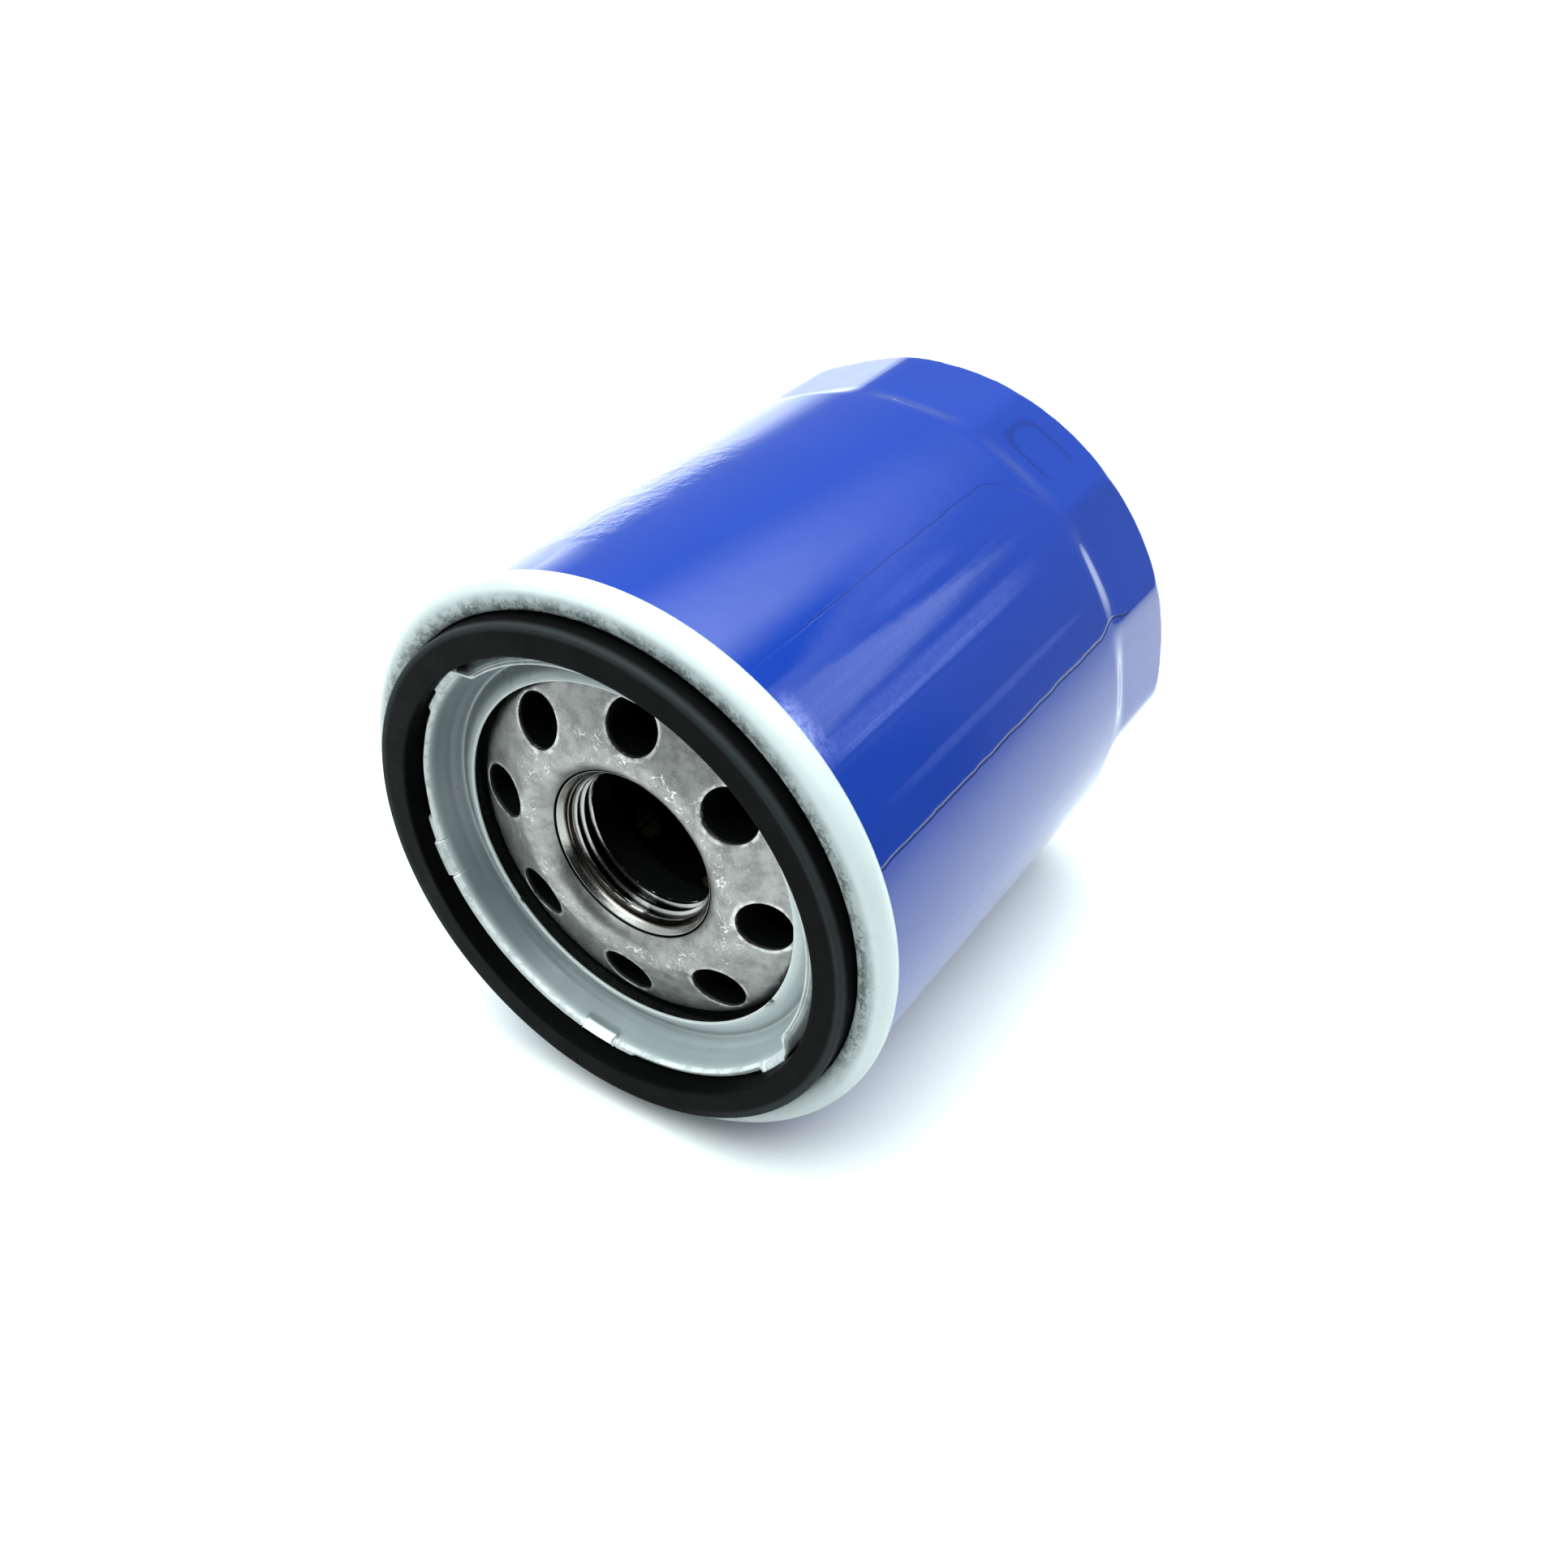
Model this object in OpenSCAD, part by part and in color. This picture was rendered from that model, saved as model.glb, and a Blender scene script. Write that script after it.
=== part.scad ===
// Spin-on oil filter with a threaded base plate, lying on its side.
// The filter's axis runs along Y: the gasket end looks to -Y, the closed end to +Y.
// The origin is on the axis, where the thread in the base plate begins.
// A "depth" below is the distance behind the gasket's sealing face, along +Y.

/* [Can] */
// Outer radius of the can's round wall
can_r = 33.8; // [33:0.1:35]
// Thickness of the can's sheet
can_t = 0.5; // [0.4:0.05:0.6]
// Length from the gasket's face to the closed end
total_len = 76; // [72:0.5:95]
// Outer radius of the closed end's shoulder
shoulder_r = 4; // [3:0.5:5]
// Radius of the shallow dish in the closed end
dish_r = 20; // [18:0.5:24]
// Depth of that dish
dish_depth = 0.8; // [0.4:0.1:1]

/* [Wrench flats] */
// Number of flats round the closed end
flat_count = 14; // [12:1:16]
// Length of the flats, from the closed end to where they meet the ramps
flat_len = 13.5; // [9:0.5:15]
// Length of the ramp from the round wall down to a flat
ramp_len = 3; // [2.5:0.5:7]
// Width of the round land left between two flats, as an angle
land_deg = 1; // [0.6:0.1:3]
// Clock angle of the middle of the first flat, from straight up
flat_clock = 4.8; // [0:0.1:25]

/* [Lid] */
// Thickness of the lid's sheet
lid_t = 0.6; // [0.5:0.05:0.7]
// Radius of the hole in the lid
lid_hole_r = 22; // [21.5:0.1:23]
// Depth of that hole's edge
lid_hole_depth = 5.2; // [5:0.1:5.4]
// Depth of the lip inside the gasket
lip_depth = 2.2; // [2:0.1:2.6]
// Radius of the trough between that lip and the hole
trough_r = 24.6; // [24.2:0.1:25]
// Depth of the trough
trough_depth = 6.5; // [6.2:0.1:6.8]
// Outer radius of the rolled seam
seam_r = 34.85; // [34.8:0.05:35.2]
// Radius of the seam's round cross-section
bead_r = 2.2; // [2.2:0.05:2.3]

/* [Gasket] */
// Outer radius of the gasket
gasket_r = 31.25; // [31.2:0.05:31.3]
// Inner radius of the gasket
gasket_bore_r = 27.5; // [27.4:0.05:27.6]
// Height of the gasket, from its face to the floor of its groove
gasket_h = 7.6; // [7.4:0.1:8]
// Bevel along the gasket's outer edge
gasket_bevel = 0.5; // [0.2:0.1:0.8]

/* [Base plate] */
// Depth of the base plate's face at the mouth of its thread
plate_depth = 6.3; // [6.1:0.1:6.5]
// Depth of the base plate's back
plate_back = 10; // [9.8:0.1:10.4]
// Radius of the plate's crest, the ring that stands highest
dome_r = 14.2; // [13.8:0.1:14.6]
// Depth of the crest
dome_depth = 4.9; // [4.9:0.1:5.2]
// Slope of the plate outside its crest, in degrees
dome_slope = 16.8; // [14:0.1:18]
// Radius where the plate turns down to its flange
skirt_r = 21.5; // [21.3:0.1:21.7]
// Outer radius of the plate's flange
flange_r = 31.5; // [30.5:0.1:31.8]
// Number of oil inlet holes
inlet_count = 8; // [6:1:8]
// Radius of the circle that the inlet holes lie on
inlet_pitch_r = 18; // [17.8:0.1:18.2]
// Radius of an inlet hole, measured on the sloping plate
inlet_r = 3.3; // [3:0.1:3.4]
// Clock angle of the first inlet hole, from straight up
inlet_clock = 4.8; // [0:0.1:45]

/* [Thread] */
// Radius at the thread's crests, for an M20 x 1.5 nut thread
thread_r = 9.19; // [9.15:0.01:9.23]
// Radius of the mouth of the lead-in
mouth_r = 10.8; // [10.6:0.1:11]
// Length of the thread
thread_len = 3; // [2.8:0.1:3.4]
// Outer radius of the neck that carries the thread
neck_r = 12.2; // [12:0.1:12.2]

/* [Element] */
// Number of pleats
pleat_count = 48; // [36:1:48]
// Radius over the pleats
pleat_r = 27.8; // [26.8:0.1:27.8]
// Radius inside the pleats
pleat_bore_r = 15.1; // [15.1:0.1:15.4]
// Thickness of the filter paper
paper_t = 0.6; // [0.4:0.05:0.6]
// Outer radius of the end caps
cap_r = 29; // [28.8:0.1:30]
// Thickness of the end caps
cap_t = 0.4; // [0.3:0.05:0.5]
// Rows of holes along the centre tube
tube_rows = 6; // [4:1:6]
// Holes in each row of the centre tube
tube_holes = 8; // [6:1:9]
// Radius of the holes in the centre tube
tube_hole_r = 2; // [1.5:0.1:2.2]

/* [Valves] */
// Radius of the bypass hole in the inner end cap
bypass_hole_r = 7; // [6.5:0.1:7.2]
// Radius of the bypass poppet's disc
poppet_r = 9; // [8.8:0.1:9.2]
// Radius of the poppet's stem
stem_r = 1.5; // [1.3:0.1:1.7]
// Travel that the cage leaves the poppet
poppet_travel = 3.5; // [3:0.1:4]
// Outer radius of the drain-back flap
flap_r = 25.4; // [25:0.1:26]

/* [Hidden] */

round_fn = 128;      // facets of a round shape
small_fn = 48;       // facets of a small round shape
slip = 0.05;         // radial clearance between pieces that only locate each other
over = 1;            // how far a cutter runs past what it cuts

origin_depth = plate_depth + mouth_r - thread_r;  // the lead-in is a 45 degree cone
flat_depth = total_len - flat_len;                // where the ramps meet the flats
flat_apothem = can_r * cos(180 / flat_count - land_deg / 2);
ramp_slope = ramp_len / (can_r - flat_apothem);

bead_pos = [seam_r - bead_r, lip_depth + bead_r];  // centre of the seam's cross-section
groove_wall_r = gasket_r + 0.2;                    // inside of the groove's outer wall
lid_floor = gasket_h + lid_t;                      // underside of the groove's floor
can_mouth = lip_depth + bead_r / 2;                // front edge of the can's hooked flange

neck_end = origin_depth + thread_len + 0.4;
cap_depth = plate_back + 6.5;                      // front face of the outlet end cap
skirt_len = 4;                                     // depth of the end caps' outer skirts
glue_t = 1.6;                                      // thickness of the plastisol in a cap
inner_cap_depth = total_len - 15;                  // inner face of the inner end cap
media_start = cap_depth + cap_t + glue_t;
media_end = inner_cap_depth - glue_t;
collar_r = 14;                                     // outside of the drain-back valve's collar
tube_bore_r = collar_r + 0.4;
tube_t = 0.5;
fold_gap = 0.5;                                    // from a pleat's middle to its sheet's middle

seal_t = 1;                                        // thickness of the bypass seal
poppet_t = 1;                                      // thickness of the poppet's disc
cage_r = 11.2;                                     // outer radius of the bypass cage
cage_t = 0.5;
cage_len = 16;
poppet_back = inner_cap_depth - seal_t - poppet_t; // face that the bypass spring pushes on
cage_floor = inner_cap_depth - cage_len + cage_t;  // face that carries the spring's other end

seat_t = 0.6;                                      // thickness of the element spring's seat
seat_depth = inner_cap_depth + cap_t;
dish_inside = total_len - dish_depth - can_t;      // inner face of the can's dish

blue = [0.13, 0.22, 0.72];
primer = [0.72, 0.77, 0.77];
steel = [0.55, 0.55, 0.53];
zinc = [0.74, 0.74, 0.72];
rubber = [0.05, 0.05, 0.055];
paper = [0.86, 0.80, 0.62];

// Puts a shape made along +Z, at its depth, onto the filter's axis.
module on_axis() { translate([0, -origin_depth, 0]) rotate([-90, 0, 0]) children(); }

// Turns a profile drawn as [radius, depth] about the filter's axis.
module turned(fn = round_fn) { on_axis() rotate_extrude($fn = fn) children(); }

// A flat ring in the profile plane, between two radii and two depths.
module band(r0, r1, d0, d1) { translate([r0, d0]) square([r1 - r0, d1 - d0]); }

// Repeats a shape round the axis, starting at a clock angle from straight up.
module ring_of(count, clock = 0) {
    for (i = [0 : count - 1]) rotate([0, 0, i * 360 / count + clock - 90]) children();
}

// The can's outline as a solid of revolution, with its skin moved in by inset.
module can_outline(inset) {
    corner = shoulder_r - inset;
    end = total_len - inset;
    difference() {
        union() {
            band(0, can_r - inset, 0, end - corner);
            band(0, can_r - inset - corner, end - corner - over, end);
            intersection() {
                translate([can_r - inset - corner, end - corner]) circle(corner, $fn = small_fn);
                band(0, can_r, end - corner - over, end);
            }
        }
        band(0, dish_r + inset, end - dish_depth, end + over);
    }
}

// What one wrench flat takes off the can, with its ramp, moved in by inset.
module flat_cutter(inset) {
    near = flat_apothem - inset;
    far = can_r + 2;
    half_width = can_r * tan(180 / flat_count) + over;
    rotate([90, 0, 0])
        translate([0, 0, -half_width])
            linear_extrude(2 * half_width)
                polygon([[near, flat_depth], [far, flat_depth - (far - near) * ramp_slope],
                         [far, total_len + over], [near, total_len + over]]);
}

// The can as a full body, with its flats, its skin moved in by inset.
module can_body(inset) {
    difference() {
        rotate_extrude($fn = round_fn) can_outline(inset);
        ring_of(flat_count, flat_clock) flat_cutter(inset);
    }
}

module housing_can() {
    hook_end = can_mouth + 3 * can_t;
    color(blue) {
        on_axis() difference() {
            can_body(0);
            can_body(can_t);
            translate([0, 0, -over]) cylinder(r = can_r + over, h = hook_end + over, $fn = round_fn);
        }
        turned() {
            band(can_r - 2 * can_t, can_r, can_mouth, can_mouth + can_t);
            band(can_r - can_t, can_r, can_mouth, hook_end);
        }
    }
}

// The round skin of the seam, hooked over the can's flange and tight on its wall.
module bead_profile() {
    difference() {
        translate(bead_pos) circle(bead_r, $fn = small_fn);
        translate(bead_pos) circle(bead_r - lid_t, $fn = small_fn);
        band(0, groove_wall_r, 0, lid_floor);
        band(groove_wall_r + lid_t, can_r, bead_pos[1], lid_floor + over);
    }
}

// The pressed sheet inside the seam: the gasket's groove, the folded lip, the trough and the hole.
module channel_profile() {
    crest_r = gasket_bore_r - lid_t;
    outer_r = groove_wall_r + lid_t;
    wall_start = lip_depth + lid_t;
    lip_round = 0.2;
    fold_depth = lip_depth + 1.4;
    trough = [trough_r, trough_depth];
    polygon([[groove_wall_r, wall_start], [groove_wall_r, gasket_h],
             [gasket_bore_r, gasket_h], [gasket_bore_r, lip_depth + lip_round],
             [gasket_bore_r - lip_round, lip_depth], [crest_r, lip_depth + lip_round / 2],
             trough,
             [lid_hole_r, lid_hole_depth], [lid_hole_r, lid_hole_depth + lid_t],
             trough + [0, lid_t], trough + [lid_t, lid_t / 2],
             [crest_r, fold_depth], [crest_r, lid_floor], [outer_r, lid_floor], [outer_r, wall_start]]);
}

module seaming_lid() {
    color(primer) {
        turned() bead_profile();
        turned() channel_profile();
    }
}

module seam_sealant() {
    color("dimgray") turned()
        band(groove_wall_r + lid_t, can_r - can_t, can_mouth + can_t, bead_pos[1] + 1);
}

// The base plate's cross-section: rounded mouth, crest, sloping ring with the inlets, flange and neck.
module plate_profile() {
    crest_round = 2;
    throat_power = 3.5;
    throat_steps = 10;
    arc_steps = 5;
    chamfer = 0.4;
    skirt_drop = 1;
    throat = [
        for (i = [0 : throat_steps - 1])
            let (share = 1 - i / throat_steps)
            [dome_r - (dome_r - mouth_r) * share,
             dome_depth + (plate_depth - dome_depth) * pow(share, throat_power)]
    ];
    crest = [
        for (i = [0 : arc_steps])
            let (a = i * dome_slope / arc_steps)
            [dome_r + crest_round * sin(a), dome_depth + crest_round * (1 - cos(a))]
    ];
    skirt_depth = crest[arc_steps][1] + (skirt_r - crest[arc_steps][0]) * tan(dome_slope);
    polygon(concat(
        [[thread_r, origin_depth]],
        throat,
        crest,
        [[skirt_r, skirt_depth], [skirt_r + skirt_drop, lid_floor], [flange_r, lid_floor],
         [flange_r, plate_back], [neck_r, plate_back], [neck_r, neck_end],
         [thread_r + chamfer, neck_end], [thread_r, neck_end - chamfer]]));
}

module base_plate() {
    color(steel) difference() {
        turned() plate_profile();
        on_axis() ring_of(inlet_count, inlet_clock)
            translate([inlet_pitch_r, 0, dome_depth - over])
                scale([cos(dome_slope), 1, 1])
                    cylinder(r = inlet_r, h = plate_back - dome_depth + 2 * over, $fn = small_fn);
    }
}

module sealing_gasket() {
    color(rubber) turned() difference() {
        band(gasket_bore_r, gasket_r, 0, gasket_h);
        polygon([[gasket_r - gasket_bevel, 0], [gasket_r - gasket_bevel, -over],
                 [gasket_r + over, -over], [gasket_r + over, gasket_bevel],
                 [gasket_r, gasket_bevel]]);
    }
}

module drainback_collar() {
    color(rubber) turned()
        band(neck_r + slip, collar_r, plate_back, cap_depth + 2 * cap_t);
}

module drainback_flap() {
    root = collar_r + 0.3;
    seat = plate_back + slip;
    color(rubber) turned()
        polygon([[root, seat + 2.4], [flap_r - 1.8, seat], [flap_r, seat],
                 [flap_r, seat + 1], [flap_r - 1.2, seat + 1.3], [root, seat + 3.8]]);
}

module outlet_end_cap() {
    color(zinc) turned() {
        band(collar_r + slip, cap_r, cap_depth, cap_depth + cap_t);
        band(cap_r - cap_t, cap_r, cap_depth, cap_depth + skirt_len);
    }
}

module outlet_cap_adhesive() {
    color("firebrick") turned()
        band(collar_r + slip, cap_r - cap_t, cap_depth + cap_t, media_start);
}

// One side of the folded paper as a closed outline; tips are half a fold wide each way.
function pleat_outline(tip_half, root_half, tip_r, root_r) = [
    for (i = [0 : pleat_count - 1])
        let (step = 360 / pleat_count,
             tip = tip_half / tip_r * 180 / PI,
             root = root_half / root_r * 180 / PI)
        for (p = [[tip_r, -tip], [tip_r, tip], [root_r, step / 2 - root], [root_r, step / 2 + root]])
            [p[0] * cos(i * step + p[1]), p[0] * sin(i * step + p[1])]
];

module pleated_media() {
    wide = fold_gap + paper_t / 2;
    narrow = fold_gap - paper_t / 2;
    color(paper) on_axis() translate([0, 0, media_start])
        linear_extrude(media_end - media_start) rotate(-90) difference() {
            polygon(pleat_outline(wide, narrow, pleat_r, pleat_bore_r + paper_t));
            polygon(pleat_outline(narrow, wide, pleat_r - paper_t, pleat_bore_r));
        }
}

module media_seam_clip() {
    clip_t = 0.3;
    clip_depth = 6;
    half = fold_gap + paper_t / 2 + slip;
    color(zinc) on_axis() rotate([0, 0, -90]) translate([0, 0, media_start + 1])
        linear_extrude(media_end - media_start - 2) difference() {
            translate([pleat_r - clip_depth, -half - clip_t])
                square([clip_depth + slip + clip_t, 2 * (half + clip_t)]);
            translate([pleat_r - clip_depth - over, -half])
                square([clip_depth + over + slip, 2 * half]);
        }
}

module centre_tube() {
    row_pitch = (media_end - media_start) / tube_rows;
    color(zinc) difference() {
        turned() band(tube_bore_r, tube_bore_r + tube_t, media_start, media_end);
        on_axis() for (row = [0 : tube_rows - 1])
            translate([0, 0, media_start + (row + 0.5) * row_pitch])
                ring_of(tube_holes, row % 2 * 180 / tube_holes)
                    translate([tube_bore_r - over, 0, 0]) rotate([0, 90, 0])
                        cylinder(r = tube_hole_r, h = tube_t + 2 * over, $fn = small_fn);
    }
}

module inner_end_cap() {
    color(zinc) turned() {
        band(bypass_hole_r, cap_r, inner_cap_depth, seat_depth);
        band(cap_r - cap_t, cap_r, seat_depth - skirt_len, seat_depth);
    }
}

module inner_cap_adhesive() {
    color("firebrick") turned()
        band(tube_bore_r, cap_r - cap_t, media_end, inner_cap_depth);
}

module bypass_cage() {
    window_count = 4;
    window_w = 8;
    window_len = 8;
    color(zinc) difference() {
        turned() {
            band(cage_r - cage_t, tube_bore_r - slip, inner_cap_depth - cage_t, inner_cap_depth);
            band(cage_r - cage_t, cage_r, cage_floor - cage_t, inner_cap_depth);
            band(stem_r + 2 * slip, cage_r, cage_floor - cage_t, cage_floor);
        }
        on_axis() ring_of(window_count)
            translate([cage_r - 3 * cage_t, -window_w / 2, inner_cap_depth - 2 - window_len])
                cube([cage_r, window_w, window_len]);
    }
}

module bypass_seal() {
    color(rubber) turned()
        band(bypass_hole_r, poppet_r + 0.5, inner_cap_depth - seal_t, inner_cap_depth);
}

module bypass_poppet() {
    stem_end = cage_floor - cage_t - 2;
    stop_r = 2.8;
    color(zinc) turned(small_fn) {
        band(0, poppet_r, poppet_back, poppet_back + poppet_t - slip);
        band(0, stop_r, cage_floor + poppet_travel + slip, poppet_back);
        band(0, stem_r, stem_end, poppet_back);
    }
}

// A round wire wound as a helix, with its ends closed.
module coil(coil_r, wire_r, start, end, turns) {
    sides = 6;
    per_turn = 18;
    steps = turns * per_turn;
    rise = (end - start - 2 * wire_r) / steps;
    points = [
        for (i = [0 : steps]) for (j = [0 : sides - 1])
            let (turn = i * 360 / per_turn, r = coil_r + wire_r * cos(j * 360 / sides + 30))
            [r * cos(turn), r * sin(turn),
             start + wire_r + i * rise + wire_r * sin(j * 360 / sides + 30)]
    ];
    walls = [
        for (i = [0 : steps - 1]) for (j = [0 : sides - 1])
            let (a = i * sides + j, b = i * sides + (j + 1) % sides)
            [a, b, b + sides, a + sides]
    ];
    first = [for (j = [0 : sides - 1]) sides - 1 - j];
    last = [for (j = [0 : sides - 1]) steps * sides + j];
    on_axis() polyhedron(points, concat(walls, [first, last]), convexity = 10);
}

module bypass_spring() {
    color("gainsboro") coil(5, 0.6, cage_floor + slip, poppet_back - slip, 6);
}

module element_spring() {
    color("gainsboro") coil(14, 0.9, seat_depth + seat_t + slip, dish_inside - slip, 3);
}

module spring_seat() {
    lip_r = 16.5;
    color(zinc) turned() {
        band(9, lip_r, seat_depth, seat_depth + seat_t);
        band(lip_r - seat_t, lip_r, seat_depth, seat_depth + 2.4);
    }
}

housing_can();
seaming_lid();
seam_sealant();
base_plate();
sealing_gasket();
drainback_collar();
drainback_flap();
outlet_end_cap();
outlet_cap_adhesive();
pleated_media();
media_seam_clip();
centre_tube();
inner_end_cap();
inner_cap_adhesive();
bypass_cage();
bypass_seal();
bypass_poppet();
bypass_spring();
element_spring();
spring_seat();
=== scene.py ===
"""A spin-on oil filter lying on a white table, seen from its open end.

Lengths in the shape code are in millimetres and every point is given as
(radius, depth, clock): depth runs into the filter from the gasket's face, and
clock is the angle from straight up, towards +X, seen from the open end.
"""
import math

import bmesh
import bpy
import numpy as np
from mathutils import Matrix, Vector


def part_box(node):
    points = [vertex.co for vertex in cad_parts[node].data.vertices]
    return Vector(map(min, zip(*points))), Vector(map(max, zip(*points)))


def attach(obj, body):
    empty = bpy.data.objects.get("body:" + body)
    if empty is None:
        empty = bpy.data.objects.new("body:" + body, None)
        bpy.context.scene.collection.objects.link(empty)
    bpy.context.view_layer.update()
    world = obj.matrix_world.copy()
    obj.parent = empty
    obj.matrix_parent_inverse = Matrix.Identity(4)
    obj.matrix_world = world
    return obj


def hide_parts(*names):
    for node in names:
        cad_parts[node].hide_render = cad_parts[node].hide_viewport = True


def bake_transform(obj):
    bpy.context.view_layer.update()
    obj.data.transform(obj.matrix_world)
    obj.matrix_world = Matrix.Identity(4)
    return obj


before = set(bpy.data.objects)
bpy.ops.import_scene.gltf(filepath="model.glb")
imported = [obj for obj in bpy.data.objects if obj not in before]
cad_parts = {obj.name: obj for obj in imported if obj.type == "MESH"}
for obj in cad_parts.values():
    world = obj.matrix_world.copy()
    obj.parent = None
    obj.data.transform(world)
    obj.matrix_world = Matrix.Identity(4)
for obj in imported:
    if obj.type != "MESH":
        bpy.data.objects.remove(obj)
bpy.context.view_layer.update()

MM = 0.001
FACE_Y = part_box("sealing_gasket")[0].y / MM  # the gasket's face, along Y

# The oil inlets: how many, the radius of their circle, and the first one's clock angle.
HOLES, HOLE_PITCH_R, HOLE_CLOCK = 8, 18.0, 4.8
GROOVE_R = 10.78  # the fine groove round the thread's mouth

# The lid's marks by clock angle in degrees: its shape shows all of them, its paint the slits, the bent tab,
# the burr and the leaning lip.
LUGS = (-172, -110, -50, 8, 68, 128)
SLITS = (-44.7, -105.2, -115.5, -166.9, -177.3, 131.5)  # tears in the lip
BENT_TAB = -172.1  # the lug that is folded inwards
BURR = 121  # on the hole's edge
LEANING = (38.5, 84, 1.35)  # where the lip leans inwards: middle, reach, how far
SUNK = ((-80, 18, 0.9), (155, 22, 0.3), (38.5, 79, 0.3))  # where its outer half lies low: the same, in depth


# ------------------------------------------------------------------ shapes

def smooth_min(a, b, width):
    """The smaller of two values, the corner between them rounded over a width."""
    h = np.clip(0.5 + 0.5 * (b - a) / width, 0, 1)
    return b * (1 - h) + a * h - width * h * (1 - h)


def smooth_max(a, b, width):
    return -smooth_min(-a, -b, width)


def bell(x, width):
    return np.exp(-(x / width) ** 2)


def turn_gap(clock, centre):
    """Signed angle from a centre to each clock angle, in degrees."""
    return (np.degrees(clock) - centre + 180) % 360 - 180


def rounded(corners, arc_deg, closed=True):
    """Corners (radius, depth, fillet) as a polyline whose fillets turn by arc_deg or less at a time."""
    points = []
    for i, corner in enumerate(corners):
        here = np.array(corner[:2], float)
        fillet = corner[2] if len(corner) > 2 else 0
        if not fillet or (not closed and i in (0, len(corners) - 1)):
            points.append(here)
            continue
        to_last = np.array(corners[i - 1][:2], float) - here
        to_next = np.array(corners[(i + 1) % len(corners)][:2], float) - here
        to_last /= np.linalg.norm(to_last)
        to_next /= np.linalg.norm(to_next)
        half = math.acos(np.clip(to_last @ to_next, -1, 1)) / 2
        middle = to_last + to_next
        centre = here + middle / np.linalg.norm(middle) * fillet / math.sin(half)
        start = here + to_last * fillet / math.tan(half) - centre
        end = here + to_next * fillet / math.tan(half) - centre
        first = math.atan2(start[1], start[0])
        sweep = (math.atan2(end[1], end[0]) - first + math.pi) % (2 * math.pi) - math.pi
        steps = max(2, math.ceil(abs(math.degrees(sweep)) / arc_deg))
        for k in range(steps + 1):
            a = first + sweep * k / steps
            points.append(centre + fillet * np.array([math.cos(a), math.sin(a)]))
    return np.array(points)


def arc(centre, radius, first_deg, last_deg, steps):
    """Points on a circle in the (radius, depth) plane."""
    a = np.radians(np.linspace(first_deg, last_deg, steps + 1))
    return np.stack([centre[0] + radius * np.cos(a), centre[1] + radius * np.sin(a)], 1)


def refined(points, longest, closed=True):
    """The same polyline with its long stretches cut up."""
    out = []
    count = len(points)
    for i in range(count if closed else count - 1):
        a, b = points[i], points[(i + 1) % count]
        parts = max(1, math.ceil(np.linalg.norm(b - a) / longest))
        out.extend(a + (b - a) * k / parts for k in range(parts))
    if not closed:
        out.append(points[-1])
    return np.array(out)


def place(radius, depth, clock):
    """Points in metres, in the frame."""
    return np.stack([radius * np.sin(clock), depth + FACE_Y, radius * np.cos(clock)], -1) * MM


def grid_faces(columns, rows, wrap_rows, first=0):
    """Quads of a grid whose columns go all the way round."""
    j, i = np.meshgrid(np.arange(columns), np.arange(rows if wrap_rows else rows - 1), indexing="ij")
    j2, i2 = (j + 1) % columns, (i + 1) % rows
    quads = np.stack([j * rows + i, j2 * rows + i, j2 * rows + i2, j * rows + i2], -1)
    return (quads.reshape(-1, 4) + first).tolist()


def solid(name, points, faces, material, replaced, crease=32, ride=True):
    """A closed mesh piece with smooth shading, riding on the filter's body unless it is blended."""
    mesh = bpy.data.meshes.new(name)
    mesh.from_pydata(np.asarray(points).tolist(), [], faces)
    work = bmesh.new()
    work.from_mesh(mesh)
    bmesh.ops.remove_doubles(work, verts=work.verts, dist=2e-6)
    bmesh.ops.dissolve_degenerate(work, dist=1e-7, edges=work.edges)
    bmesh.ops.recalc_face_normals(work, faces=work.faces)
    work.to_mesh(mesh)
    work.free()
    mesh.shade_smooth()
    mesh.set_sharp_from_angle(angle=math.radians(crease))
    piece = bpy.data.objects.new(name, mesh)
    bpy.context.scene.collection.objects.link(piece)
    mesh.materials.append(material)
    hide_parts(*replaced)
    if ride:
        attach(piece, "filter")
    return piece


def lathe(outline, clocks, warp):
    """Points and faces of a closed outline turned round the axis, then warped."""
    clock, radius = np.meshgrid(clocks, outline[:, 0], indexing="ij")
    depth = np.broadcast_to(outline[:, 1], clock.shape)
    points = place(*warp(radius, depth, clock)).reshape(-1, 3)
    return points, grid_faces(len(clocks), len(outline), True)


def even_clocks(count, extra_deg):
    """Clock angles spread evenly round the circle, with some more where detail needs them."""
    angles = np.concatenate([np.arange(count) * 360.0 / count - 180, extra_deg])
    return np.radians(np.unique(np.round(angles % 360, 4)))


# --------------------------------------------------------------- materials

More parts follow.
